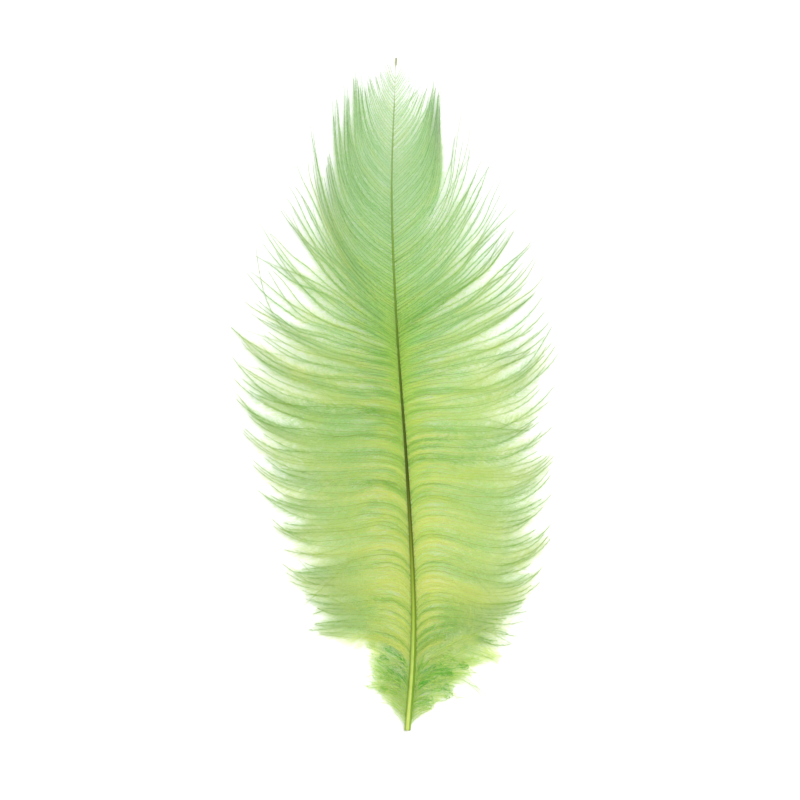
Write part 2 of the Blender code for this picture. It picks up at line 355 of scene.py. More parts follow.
def gathered(rng, place, share, lock, tuft, tuft_centre):
    """The place that each point of a barb lies at when locks and tufts gather, and who strays."""
    opens, centre, gathers = (column[:, None] for column in lock[:3])
    own_place = place[:, None]
    pull = gathers * ease((share - opens) / (GATHERED - opens))
    tufts = len(tuft_centre)
    tuft_opens = (rows_at(TUFTS, place, 2) + rng.uniform(-0.12, 0.16, tufts)[tuft])[:, None]
    tuft_pull = (rows_at(TUFTS, place, 1) * rng.uniform(0.3, 1.2, tufts)[tuft])[:, None]
    tuft_pull = tuft_pull * ease((share - tuft_opens) / (GATHERED - tuft_opens))
    stray = rng.random(len(place)) < STRAYS
    pull = np.where(stray[:, None], STRAY_PULL * pull, pull)
    aim = own_place + (centre - own_place) * pull
    aim = aim + (tuft_centre[tuft][:, None] - own_place) * tuft_pull * (1 - 0.6 * pull)
    return aim, stray


def waved(rng, aim, place, share, size, turn, tuft, stray):
    """The aims with each barb's bend and waves, and with the drift that neighbours share."""
    count = len(place)
    bend = turn + rng.normal(0, BEND, tuft.max() + 1)[tuft]
    bend = bend + np.where(stray, rng.normal(0, STRAY_BEND, count), rng.normal(0, BEND, count))
    aim = aim + (bend * size * PER_MM)[:, None] * share ** rows_at(BEND_POWER, place)[:, None]
    aim = aim + drift(rng, place[:, None], share) * size[:, None]
    for frequency in WAVES:
        wave = rng.normal(0, WAVE / frequency**0.7 * PER_MM, count) * size
        phase = rng.uniform(0, TURN, count)
        aim = aim + wave[:, None] * np.sin(frequency * 5.3 * share + phase[:, None]) * ease(share * 3)
    return aim


def parted(aim, place, share, lenses):
    """The aims with the barbs pushed apart round each lens."""
    own_place = place[:, None]
    for lens_place, lens_share, half, width in lenses:
        away = own_place - lens_place
        push = np.sign(away) * np.exp(-np.abs(away) / LENS_SPREAD) * width / 2 * PER_MM
        aim = aim + push * np.exp(-(((share - lens_share) / half) ** 2))
    return aim


def strands(rng, side, rows, locks, lenses):
    """The lines of all barbs of a vane: points (barb, sample, xyz) and what the looks need."""
    place = root_places(rng, rows[0][0], rows[-1][0])
    count = len(place)
    even = flow(side, rows, place[:, None] + 0 * SHARES, SHARES)
    size = np.minimum(1.0, np.hypot(rows_at(rows, place, 1), rows_at(rows, place, 2)) / FULL_SIZE)

    lock = locks_at(locks, place)
    opens, _, _, turn, lock_length, fullness = lock
    tuft, tuft_centre = groups(rng, place, *TUFT_SIZE)
    tufts = len(tuft_centre)
    aim, stray = gathered(rng, place, SHARES, lock, tuft, tuft_centre)
    aim = waved(rng, aim, place, SHARES, size, turn, tuft, stray)
    aim = parted(aim, place, SHARES, lenses)

    length = lock_length * rng.normal(1.0, 0.012, tufts)[tuft]
    length = length * np.where(stray, rng.uniform(0.8, 1.06, count), rng.uniform(0.86, 1.04, count))
    points = flow(side, rows, aim, SHARES * length[:, None])
    lift = rng.uniform(*LIFT, count)[:, None] * MM
    end_curl = np.abs(rng.normal(0, END_CURL, count))[:, None] * MM
    height = lift * ease(SHARES * 4) + end_curl * ease((SHARES - 0.7) / 0.3)
    points[:, :, 2] += height * size[:, None]
    points[:, :, 2] = np.maximum(points[:, :, 2], LOWEST_BARB * MM)
    tone = rng.normal(0, 1, count) + 0.3 * rng.normal(0, 1, tufts)[tuft]
    return {
        "points": points, "place": place, "tone": tone, "size": size, "crowd": crowding(points, even),
        "opens": opens, "fullness": np.where(stray, 0.5, fullness),
    }


def soft_looks(place, tone, size):
    """What the looks need of down: even spacing, and all of its barbules."""
    count = len(place)
    return {
        "place": place, "tone": tone, "size": size, "crowd": np.full((count, SAMPLES), 0.1),
        "opens": np.full(count, 0.8), "fullness": np.ones(count),
    }


def down_strands(rng, side, place, out, ahead, heading, tone, lift, unruly, fineness):
    """The lines of soft barbs beside the quill, each with a little curl of its own."""
    count = len(place)
    reach = np.hypot(out, ahead)
    turn = np.arctan2(out, ahead) + rng.normal(0, 0.1 * unruly, count)
    length = reach * rng.uniform(1 - 0.25 * unruly, 1.04, count)
    heading = heading + rng.normal(0, 15 * unruly, count)
    columns = (length * np.sin(turn), length * np.cos(turn), heading, np.full(count, DOWN_HANDLE))
    columns = (values[:, None] for values in columns)
    points = barb_curve(side, place[:, None] + 0 * SHARES, *columns, SHARES)
    turns = rng.uniform(0.6, 1.6, count)[:, None]
    phase = rng.uniform(0, TURN, count)[:, None]
    width = unruly * CURL * (reach * rng.uniform(0.2, 1.0, count))[:, None] * SHARES**1.7 * MM
    angle = TURN * turns * SHARES + phase
    points[:, :, 0] += width * (np.cos(angle) - np.cos(phase))
    points[:, :, 1] += width * (np.sin(angle) - np.sin(phase))
    points[:, :, 2] += (lift + rng.uniform(0.0, 0.6, count))[:, None] * MM * ease(SHARES * 2.5)
    points[:, :, 2] = np.maximum(points[:, :, 2], LOWEST_BARB * MM)
    tone = tone + 0.4 * rng.normal(0, 1, count)
    size = fineness * np.minimum(1.0, reach / FULL_SIZE)
    return {"points": points, **soft_looks(place, tone, size)}


def even_down(rng, side, rows):
    """The even lower layer of the down."""
    count = int(round((rows[-1][0] - rows[0][0]) * shaft_line.length / MM / DOWN_PITCH))
    place = np.linspace(rows[0][0], rows[-1][0], count)
    out, ahead, heading = (rows_at(rows, place, column) for column in (1, 2, 3))
    tone = np.full(count, EVEN_TONE)
    return down_strands(rng, side, place, out, ahead, heading, tone, EVEN_LIFT, EVEN_UNRULY, 1.0)


def bundled_down(rng, side, rows):
    """The bundles over the even layer. The barbs of a bundle start and end beside each other."""
    table = np.repeat(np.array(rows, float), BUNDLE_SIZE, axis=0)
    spread = np.tile(np.linspace(-1, 1, BUNDLE_SIZE), len(rows))
    place, out, ahead, heading, tone = (table[:, column] for column in range(5))
    lift = np.repeat(rng.uniform(0.8, 2.4, len(rows)), BUNDLE_SIZE)
    place = np.maximum(place + spread * BUNDLE_SPREAD, FIRST_BUNDLE)
    looks = (tone, lift, BUNDLE_UNRULY, BUNDLE_FINENESS)
    return down_strands(rng, side, place, out, ahead, heading, *looks)


def knots(rng, side, rows):
    """Small tangles of down: each is a few barbs that curl round a middle."""
    table = np.repeat(np.array(rows, float), KNOT_BARBS, axis=0)
    place, out, radius, tone = (table[:, column][:, None] for column in range(4))
    count = len(table)
    angle = rng.uniform(0, TURN, (count, 1)) + rng.uniform(2.5, 5.0, (count, 1)) * SHARES
    radius = radius * rng.uniform(0.35, 1.1, (count, 1)) * (1 - 0.35 * SHARES)
    x, y, _, _ = shaft_line.at(place + 0 * SHARES)
    offset = rng.normal(0, 0.8, (count, 2, 1))
    points = np.stack([
        x + (side * out + offset[:, 0] + radius * np.cos(angle)) * MM,
        y + (offset[:, 1] + 0.7 * radius * np.sin(angle)) * MM,
        (rng.uniform(*KNOT_LIFT, (count, 1)) + 0.5 * np.sin(2 * angle)) * MM,
    ], axis=-1)
    tone = tone[:, 0] + 0.6 * rng.normal(0, 1, count)
    return {"points": points, **soft_looks(place[:, 0], tone, np.full(count, KNOT_FINENESS))}


def joined(*strips):
    """Several sets of barbs as one."""
    return {key: np.concatenate([strip[key] for strip in strips]) for key in strips[0]}


def loose_strands(rng, rows):
    """The lines of the loose barbs."""
    table = np.array(rows, float)
    count = len(table)
    columns = (table[:, column][:, None] for column in range(7))
    side, place, out, ahead, heading, handle, fullness = columns
    wave = rng.normal(0, 0.5, count)[:, None]
    wave = wave * np.sin(7.0 * SHARES + rng.uniform(0, 6, count)[:, None])
    points = barb_curve(side, place + 0 * SHARES, out + wave, ahead + wave, heading, handle, SHARES)
    points[:, :, 2] += LOOSE_LIFT * MM * ease((SHARES - 0.4) * 3)
    return {
        "points": points, "place": place[:, 0], "tone": rng.normal(0.2, 0.6, count),
        "size": 0.3 + 0.6 * fullness[:, 0], "crowd": np.zeros((count, SAMPLES)),
        "opens": fullness[:, 0] - 0.2, "fullness": fullness[:, 0],
    }


def frames_of(points):
    """Unit tangents, sideways vectors and normals along each line."""
    tangent = np.gradient(points, axis=1)
    tangent /= np.linalg.norm(tangent, axis=2, keepdims=True)
    sideways = np.cross(np.array([0.0, 0.0, 1.0]), tangent)
    sideways /= np.linalg.norm(sideways, axis=2, keepdims=True)
    return tangent, sideways, np.cross(tangent, sideways)


def rami(lines, thick_rows, thin):
    """A closed three-sided tapering tube along every line, with its flat side up."""
    points = lines["points"]
    tangent, sideways, normal = frames_of(points)
    count, samples = points.shape[:2]
    share = np.linspace(0, 1, samples)
    thick = rows_at(thick_rows, lines["place"]) * (0.35 + 0.65 * lines["size"])
    thick = thick[:, None, None]
    radius = (thick + (thin - thick) * share[None, :, None] ** 1.6) * MM / 2
    angles = (-math.pi / 2, math.pi / 6, 5 * math.pi / 6)
    ring = [points + radius * (math.cos(a) * sideways + math.sin(a) * normal) for a in angles]
    vertices = np.stack(ring, axis=2).reshape(-1, 3)
    base = (np.arange(count)[:, None] * samples + np.arange(samples - 1)[None, :])[:, :, None] * 3
    faces = []
    for k in range(3):
        a, b = base + k, base + (k + 1) % 3
        c, d = a + 3, b + 3
        faces += [np.concatenate([a, b, d], axis=2), np.concatenate([a, d, c], axis=2)]
    faces = np.stack(faces, axis=2).reshape(-1, 3)
    ends = (np.arange(count) * samples * 3)[:, None]
    last = ends + (samples - 1) * 3
    caps = np.concatenate([ends + np.array([[2, 1, 0]]), last + np.array([[0, 1, 2]])])
    barb = np.repeat(np.arange(count), samples * 3)
    return {
        "vertices": vertices, "faces": np.concatenate([faces, caps]), "barb": barb,
        "along": np.tile(np.repeat(share, 3), count), "fine": np.zeros(len(barb)),
        "across": np.tile(np.array([0.0, -0.05, 0.05]), count * samples),
        "haze": np.zeros(len(barb)), "crowd": np.repeat(lines["crowd"].ravel(), 3),
    }


def scattered(rng, lines, amount):
    """Where the barbules grow: each one's barb, and its place as a share of the barb's length."""
    lengths = np.linalg.norm(np.diff(lines["points"], axis=1), axis=2).sum(axis=1) / MM
    grid = np.linspace(0, 1, 200)
    density = rows_at(BARBULE_DENSITY, grid)
    number = np.maximum((lengths * density.mean() * amount).astype(int), FEWEST_BARBULES)
    barb = np.repeat(np.arange(len(lengths)), number)
    order = np.arange(len(barb)) - np.repeat(np.cumsum(number) - number, number)
    evenly = (order + rng.uniform(0, 1, len(barb))) / np.repeat(number, number)
    share = np.interp(evenly, np.cumsum(density) / density.sum(), grid) * LAST_BARBULE
    thinned = (1 - lines["fullness"][barb]) * ease((share - lines["opens"][barb] + 0.2) / 0.3)
    kept = rng.random(len(barb)) >= thinned
    return barb[kept], share[kept]


def barbules(rng, lines, amount=1.0):
    """Fine kite-shaped blades on both sides of every line, bent at the middle."""
    barb, share = scattered(rng, lines, amount)
    count = len(barb)
    position = share * (SAMPLES - 1)
    i = np.minimum(position.astype(int), SAMPLES - 2)
    f = (position - i)[:, None]

    def between(values):
        return values[barb, i] * (1 - f) + values[barb, i + 1] * f

    # which way a blade points, and how long it is
    tangent, sideways, normal = frames_of(lines["points"])
    root, t, s, n = between(lines["points"]), between(tangent), between(sideways), between(normal)
    hand = np.where(rng.random(count) < 0.5, -1.0, 1.0)[:, None]
    fluff = 1 + (rows_at(OUTER_FLUFF, lines["place"][barb]) - 1) * ease((share - 0.2) / 0.4)
    haze = rng.random(count) < rows_at(HAZE, share) * np.minimum(fluff, 1.0)
    angle = rows_at(BARBULE_ANGLE, share) * np.minimum(fluff, 1.2) ** 0.7
    angle = angle * np.where(haze, HAZE_ANGLE, 1.0)
    angle = np.radians(angle * rng.uniform(0.5, 1.4, count))[:, None]
    rise = np.radians(rng.normal(-7, 17, count) - 14 * (1 - ease(share / 0.08)))[:, None]
    size = (rows_at(BARBULE_LENGTH, share) * rng.uniform(0.55, 1.15, count))[:, None] * MM
    size = size * (fluff * lines["size"][barb] ** 0.8 * np.where(haze, HAZE_LENGTH, 1.0))[:, None]

    # its root, the two corners at its bend and its tip
    out = np.cos(rise) * hand * s + np.sin(rise) * n
    first = np.cos(angle) * t + np.sin(angle) * out
    second = np.cos(TIP_TURN * angle) * t + np.sin(TIP_TURN * angle) * out - TIP_DROP * n
    middle = root + 0.5 * size * first
    tip = middle + 0.5 * size * second
    roll = np.radians(rng.normal(0, 32, count))[:, None]
    blade = np.cross(first, np.cos(roll) * n + np.sin(roll) * s)
    blade /= np.linalg.norm(blade, axis=1, keepdims=True)
    half = rows_at(BARBULE_WIDTH, share) / 2 * MM * rng.uniform(0.7, 1.2, count)
    half = (half * np.where(haze, HAZE_WIDTH, 1.0))[:, None]
    corners = [root, middle + half * blade, middle - half * blade, tip]
    vertices = np.stack(corners, axis=1).reshape(-1, 3)
    vertices[:, 2] = np.maximum(vertices[:, 2], LOWEST_BARBULE * MM)
    first_of = (np.arange(count) * 4)[:, None]
    faces = np.concatenate([first_of + np.array([[0, 2, 1]]), first_of + np.array([[1, 2, 3]])])
    return {
        "vertices": vertices, "faces": faces, "barb": np.repeat(barb, 4),
        "along": np.repeat(share, 4) + np.tile([0.0, 0.007, 0.008, 0.015], count),
        "across": (hand * (0.04 + np.array([[0.0, 0.28, 0.18, 0.42]]))).ravel(),
        "fine": np.tile([0.25, 0.6, 0.6, 1.0], count), "haze": np.repeat(haze.astype(float), 4),
        "crowd": np.repeat(between(lines["crowd"][:, :, None])[:, 0], 4),
    }


def placed(name, data):
    """A new object in the scene."""
    made = bpy.data.objects.new(name, data)
    bpy.context.scene.collection.objects.link(made)
    return made


def new_mesh(name, vertices, faces, uv, values, material):
    """A smooth mesh of triangles with the map and the values that its material reads."""
    mesh = bpy.data.meshes.new(name)
    mesh.vertices.add(len(vertices))
    mesh.vertices.foreach_set("co", vertices.astype(np.float32).ravel())
    mesh.loops.add(len(faces) * 3)
    mesh.loops.foreach_set("vertex_index", faces.astype(np.int32).ravel())
    mesh.polygons.add(len(faces))
    mesh.polygons.foreach_set("loop_start", np.arange(0, len(faces) * 3, 3, dtype=np.int32))
    mesh.polygons.foreach_set("use_smooth", np.ones(len(faces), bool))
    mesh.update(calc_edges=True)
    layer = mesh.uv_layers.new(name="OFBake")
    layer.data.foreach_set("uv", uv.astype(np.float32).ravel())
    for key, value in values.items():
        mesh.attributes.new(key, "FLOAT", "POINT").data.foreach_set("value", value.astype(np.float32))
    mesh.materials.append(material)
    return placed(name, mesh)


def build(name, parts, lines, material):
    """One piece from the rami and the barbules of the same lines."""
    offset = np.cumsum([0] + [len(part["vertices"]) for part in parts[:-1]])
    vertices = np.concatenate([part["vertices"] for part in parts])
    faces = np.concatenate([part["faces"] + o for part, o in zip(parts, offset)])
    barb, along, across, fine, haze, crowd = (
        np.concatenate([part[key] for part in parts])
        for key in ("barb", "along", "across", "fine", "haze", "crowd")
    )
    used, rank = np.unique(barb, return_inverse=True)
    u = np.clip(0.01 + 0.96 * along, 0, 1)
    v = (rank + 0.5 + across) / len(used)
    values = {
        "along": along, "fine": fine, "haze": haze, "crowd": crowd,
        "place": lines["place"][barb], "tone": lines["tone"][barb],
    }
    return new_mesh(name, vertices, faces, np.stack([u, v], axis=1)[faces.ravel()], values, material)


def shaft_rings():
    """Where the shaft's rings lie along it, and their points. The first two line the quill's hollow."""
    place = np.linspace(0, 1, SHAFT_STATIONS)
    angle = np.arange(SHAFT_SIDES) * TURN / SHAFT_SIDES
    x, y, z, radius = shaft_line.at(place)
    depth = rows_at(GROOVE_DEPTH, place)
    dent = np.exp(-(((np.degrees(angle) - GROOVE_AT) / GROOVE_WIDTH) ** 2))
    from_ridge = (np.degrees(angle) - RIDGE_AT + 180) % 360 - 180
    flat = RIDGE_HEIGHT * (1 - np.exp(-((from_ridge / RIDGE_WIDTH) ** 2)))
    r = radius[:, None] * (SHAFT_FIT - depth[:, None] * dent[None, :] - flat[None, :])
    r = r + np.interp(place, *np.transpose(ADDED_RADIUS))[:, None] * MM
    rings = np.stack([
        x[:, None] + r * np.sin(angle), y[:, None] + 0 * r, z[:, None] + r * np.cos(angle),
    ], axis=-1)
    centre = np.array([x[0], y[0], z[0]])
    rim = centre + (rings[0] - centre) * HOLLOW_RIM
    floor = centre + (rings[0] - centre) * HOLLOW_FLOOR
    floor[:, 1] += HOLLOW_DEPTH * MM
    return np.concatenate([[0.0, 0.0], place]), np.concatenate([floor[None], rim[None], rings])


def tube_faces(count, sides):
    """The triangles and the map of a tube of rings, with a middle point at either end."""
    faces, uv = [], []
    for i in range(count - 1):
        for j in range(sides):
            a, b = i * sides + j, i * sides + (j + 1) % sides
            c, d = a + sides, b + sides
            u0, u1, v0, v1 = i / count, (i + 1) / count, j / sides, (j + 1) / sides
            faces += [(a, c, d), (a, d, b)]
            uv += [(u0, v0), (u1, v0), (u1, v1), (u0, v0), (u1, v1), (u0, v1)]
    end = (count - 1) * sides
    for j in range(sides):
        v0, v1 = j / sides, (j + 1) / sides
        faces.append((count * sides, j, (j + 1) % sides))
        uv += [(0.0, v0), (0.002, v0), (0.002, v1)]
        faces.append((count * sides + 1, end + (j + 1) % sides, end + j))
        uv += [(1.0, v1), (0.998, v1), (0.998, v0)]
    return np.array(faces), np.array(uv)


def shaft_surface(material):
    """The shaft with its ridge, its groove and the hollow cut end of the quill."""
    along, rings = shaft_rings()
    count, sides = rings.shape[:2]
    middles = [[rings[0].mean(axis=0)], [rings[-1].mean(axis=0)]]
    vertices = np.concatenate([rings.reshape(-1, 3), *middles])
    faces, uv = tube_faces(count, sides)
    across = np.tile(np.sin(np.arange(sides) * TURN / sides), count)
    inside = np.repeat([1.0, 0.5] + [0.0] * (count - 2), sides)
    values = {
        "place": np.concatenate([np.repeat(along, sides), [0.0, 1.0]]),
        "across": np.concatenate([across, [0.0, 0.0]]),
        "inside": np.concatenate([inside, [1.0, 0.0]]),
    }
    return new_mesh("shaft_surface", vertices, faces, uv, values, material)


# ----------------------------------------
# Materials


class Nodes:
    """Short names for the nodes that the materials are made of."""

    def __init__(self, name):
        self.material = bpy.data.materials.new(name)
        self.material.use_nodes = True
        self.tree = self.material.node_tree
        self.shader = self.tree.nodes["Principled BSDF"]

    def new(self, kind):
        return self.tree.nodes.new("ShaderNode" + kind)

    def link(self, value, socket):
        if hasattr(value, "is_output"):
            self.tree.links.new(value, socket)
        else:
            socket.default_value = value

    def look(self, name, value):
        """Sets or links an input of the shader."""
        self.link(value, self.shader.inputs[name])

    def attribute(self, name):
        node = self.new("Attribute")
        node.attribute_name = name
        return node.outputs["Fac"]

    def math(self, operation, *values, clamp=False):
        node = self.new("Math")
        node.operation = operation
        node.use_clamp = clamp
        for value, socket in zip(values, node.inputs):
            self.link(value, socket)
        return node.outputs[0]

    def times(self, *values):
        """The product of two or more values."""
        product = values[0]
        for value in values[1:]:
            product = self.math("MULTIPLY", product, value)
        return product

    def noise(self, stretch, x, y, z, detail=2.0):
        """Noise over the feather's own surface: patches to a unit of x and of y, and the noise's z."""
        vector = self.new("CombineXYZ")
        for value, socket in zip((self.times(x, stretch[0]), self.times(y, stretch[1]), z), vector.inputs):
            self.link(value, socket)
        node = self.new("TexNoise")
        self.link(vector.outputs[0], node.inputs["Vector"])
        node.inputs["Scale"].default_value = 1.0
        node.inputs["Detail"].default_value = detail
        return node.outputs["Fac"]

    def palette(self, value, *stops):
        """A ramp of colours: rows of (where on the value, red, green, blue)."""
        return self.ramp(value, *((at, srgb(*colour)) for at, *colour in stops))

    def tint(self, share, colour, red, green, blue):
        """The colour mixed with a share of another one."""
        return self.mix(share, colour, srgb(red, green, blue))

    def ramp(self, value, *stops):
        """Colours or grey values at their places along the value."""
        node = self.new("ValToRGB")
        elements = node.color_ramp.elements
        while len(elements) < len(stops):
            elements.new(0.5)
        for element, (at, colour) in zip(elements, stops):
            element.position = at
            element.color = colour if hasattr(colour, "__len__") else (colour, colour, colour, 1.0)
        self.link(value, node.inputs["Fac"])
        return node.outputs["Color"]

    def mix(self, share, a, b):
        node = self.new("Mix")
        node.data_type = "RGBA"
        self.link(share, node.inputs["Factor"])
        self.link(a, node.inputs["A"])
        self.link(b, node.inputs["B"])
        return node.outputs["Result"]

    def let_light_through(self, colour, share):
        """Mixes in the light that comes through the thin surface from behind."""
        through = self.new("BsdfTranslucent")
        both = self.new("MixShader")
        both.inputs["Fac"].default_value = share
        self.link(colour, through.inputs["Color"])
        self.link(self.shader.outputs[0], both.inputs[1])
        self.link(through.outputs[0], both.inputs[2])
        self.link(both.outputs[0], self.tree.nodes["Material Output"].inputs["Surface"])

    def bump(self, height, distance):
        node = self.new("Bump")
        node.inputs["Distance"].default_value = distance
        self.link(height, node.inputs["Height"])
        self.look("Normal", node.outputs["Normal"])


def srgb(red, green, blue):
    """A colour from 0 to 255 display values as the linear values that Blender mixes."""
    out = []
    for value in (red, green, blue):
        value /= 255
        out.append(value / 12.92 if value <= 0.04045 else ((value + 0.055) / 1.055) ** 2.4)
    return (*out, 1.0)


def barb_colours(n, along, place):
    """The colour by place: the inner half of a barb, and its outer half."""
    inner = n.palette(
        place, (0, 190, 228, 118), (.09, 228, 246, 138), (.18, 231, 247, 148), (.32, 226, 246, 143),
        (.45, 211, 242, 136), (.58, 197, 240, 136), (.7, 199, 236, 168), (.82, 210, 239, 195),
        (1, 234, 247, 228),
    )
    outer = n.palette(
        place, (0, 176, 222, 118), (.2, 230, 243, 154), (.45, 228, 243, 164), (.62, 202, 235, 188),
        (.82, 211, 240, 204), (1, 232, 246, 228),
    )
    return n.mix(n.ramp(along, (.12, 0), (.75, 1)), inner, outer)


def by_crowding_painted_shade(n, base, place):
    """Painted shade: deeper green where barbs crowd over one another, and a pale teal where they part, for
    the lower layer seen in shade through the gap.
    """
    closeness = n.math("MULTIPLY_ADD", n.attribute("crowd"), 0.5, 0.5)
    painted_crowd_shade = n.ramp(closeness, (.52, 0), (.95, .7))
    # painted shade: deeper green where barbs crowd over one another
    base = n.tint(n.times(painted_crowd_shade, n.ramp(place, (.6, 1), (.8, .5))), base, 152, 214, 104)
    # painted shade: a pale teal where barbs part, for the lower layer seen in shade through the gap
    return n.tint(n.ramp(closeness, (.25, .6), (.5, 0)), base, 196, 236, 178)


def by_patches(n, base, along, place, low_down):
    """Teal and yellow patches, and darker and paler ones inside them low down."""
    patch = n.noise((3, 95), along, place, 0, 3)
    base = n.tint(n.ramp(patch, (.28, .4), (.46, 0)), base, 182, 240, 162)
    base = n.tint(n.ramp(patch, (.54, 0), (.72, .25)), base, 232, 243, 136)
    shade = n.noise((3.5, 115), along, place, 7, 1)
    dark = n.times(n.ramp(shade, (.34, .3), (.45, 0)), low_down)
    base = n.tint(dark, base, 164, 216, 104)
    pale = n.times(n.ramp(shade, (.54, 0), (.66, .22)), low_down)
    return n.tint(pale, base, 242, 246, 150)


def by_haze(n, base, along, place):
    """Towards their ends the strands are deeper than the haze between them."""
    haze = n.attribute("haze")
    outermost = n.ramp(along, (.7, 0), (.92, 1))
    strand = n.times(outermost, n.ramp(place, (.48, .6), (.62, .15)), n.math("SUBTRACT", 1, haze))
    base = n.tint(strand, base, 152, 200, 112)
    hazy = n.palette(along, (.5, 235, 245, 186), (.85, 238, 243, 234))
    haziness = n.ramp(along, (.5, .4), (.85, .75))
    fading = n.ramp(place, (.45, .5), (.62, 1), (.74, .8), (.84, .2))
    return n.mix(n.times(haze, haziness, fading), base, hazy)


def ramus_colour(n, along, place, own):
    """Pale and yellow in the lower vane, a painted highlight, and darker than the barbules elsewhere."""
    ramus = n.palette(place, (.3, 150, 196, 72), (.7, 140, 190, 104), (1, 154, 202, 124))
    inner, lower = n.ramp(along, (.55, 1), (.92, .1)), n.ramp(place, (.42, 1), (.58, 0))
    # painted highlight: the inner part of the lower rami turns pale yellow, as if catching the light
    pale = n.times(inner, lower, n.ramp(own, (.25, .4), (.65, 1)))
    return n.tint(pale, ramus, 243, 246, 150)


def barb_material():
    """Dyed barbs. The barbules are so fine that light comes through them."""
    n = Nodes("dyed_barbs")
    along, place = n.attribute("along"), n.attribute("place")
    tone, fine = n.attribute("tone"), n.attribute("fine")
    low_down = n.ramp(place, (.5, 1), (.72, .25))
    base = by_crowding_painted_shade(n, barb_colours(n, along, place), place)
    base = by_patches(n, base, along, place, low_down)
    # each barb's own tone, and yellow streaks along it
    own = n.math("MULTIPLY_ADD", n.times(tone, low_down), 0.24, 0.5, clamp=True)
    base = n.tint(n.ramp(own, (0, .8), (.5, 0)), base, 150, 210, 96)
    base = n.tint(n.ramp(own, (.5, 0), (1, .8)), base, 244, 248, 160)
    streak = n.noise((7, 150), along, place, tone)
    yellow = n.times(n.ramp(streak, (.45, 0), (.68, .55)), n.ramp(place, (.5, 1), (.75, .2)))
    base = n.tint(yellow, base, 238, 246, 138)
    # yellower beside the middle of the shaft, and paler between one another above it
    beside = n.ramp(along, (.03, .6), (.16, 0))
    beside = n.times(beside, n.ramp(place, (.3, .3), (.55, 1), (.75, 0)))
    base = n.tint(beside, base, 204, 238, 98)
    between = n.times(n.ramp(fine, (.5, 0), (1, .4)), n.ramp(place, (.5, .1), (.65, 1)))
    base = by_haze(n, n.tint(between, base, 232, 247, 208), along, place)
    on_ramus = n.ramp(fine, (0, 1), (.2, 0))
    on_ramus = n.times(on_ramus, n.ramp(place, (.35, .85), (.5, .6), (.65, .7)))
    base = n.mix(on_ramus, base, ramus_colour(n, along, place, own))
    n.look("Base Color", base)
    n.look("Roughness", n.ramp(streak, (.3, .66), (.7, .82)))
    n.look("Specular IOR Level", 0.1)
    n.let_light_through(base, 0.4)
    return n.material


def down_material():
    """Dyed down: a pale yellow-green layer, darker clumps over it, and pale glints that are a painted
    highlight.
    """
    n = Nodes("dyed_down")
    along, place, tone, fine = (n.attribute(name) for name in ("along", "place", "tone", "fine"))
    tone = n.times(tone, n.ramp(along, (.05, .3), (.4, 1)))
    own = n.math("MULTIPLY_ADD", tone, 0.16, 0.5, clamp=True)
    base = n.palette(
        own, (0, 118, 222, 78), (.2, 194, 245, 118), (.42, 236, 253, 150), (.75, 246, 254, 166),
        (1, 222, 251, 208),
    )
    painted_glint_and_patch_noise = n.noise((6, 120), along, place, tone)
    base = n.tint(n.ramp(place, (.02, .5), (.05, 0)), base, 232, 246, 158)
    # painted highlight: pale bluish-white glints where the noise is high; where it is low, darker green
    # patches
    base = n.tint(n.ramp(painted_glint_and_patch_noise, (.56, 0), (.66, .7)), base, 232, 248, 222)
    base = n.tint(n.ramp(painted_glint_and_patch_noise, (.34, .6), (.44, 0)), base, 146, 214, 98)
    ramus = n.palette(own, (0, 96, 192, 58), (.5, 184, 230, 100), (1, 216, 245, 176))
    base = n.mix(n.ramp(fine, (0, .8), (.2, 0)), base, ramus)
    n.look("Base Color", base)
    n.look("Roughness", n.ramp(painted_glint_and_patch_noise, (.3, .85), (.7, .6)))
    n.look("Specular IOR Level", 0.15)
    n.let_light_through(base, 0.35)
    return n.material


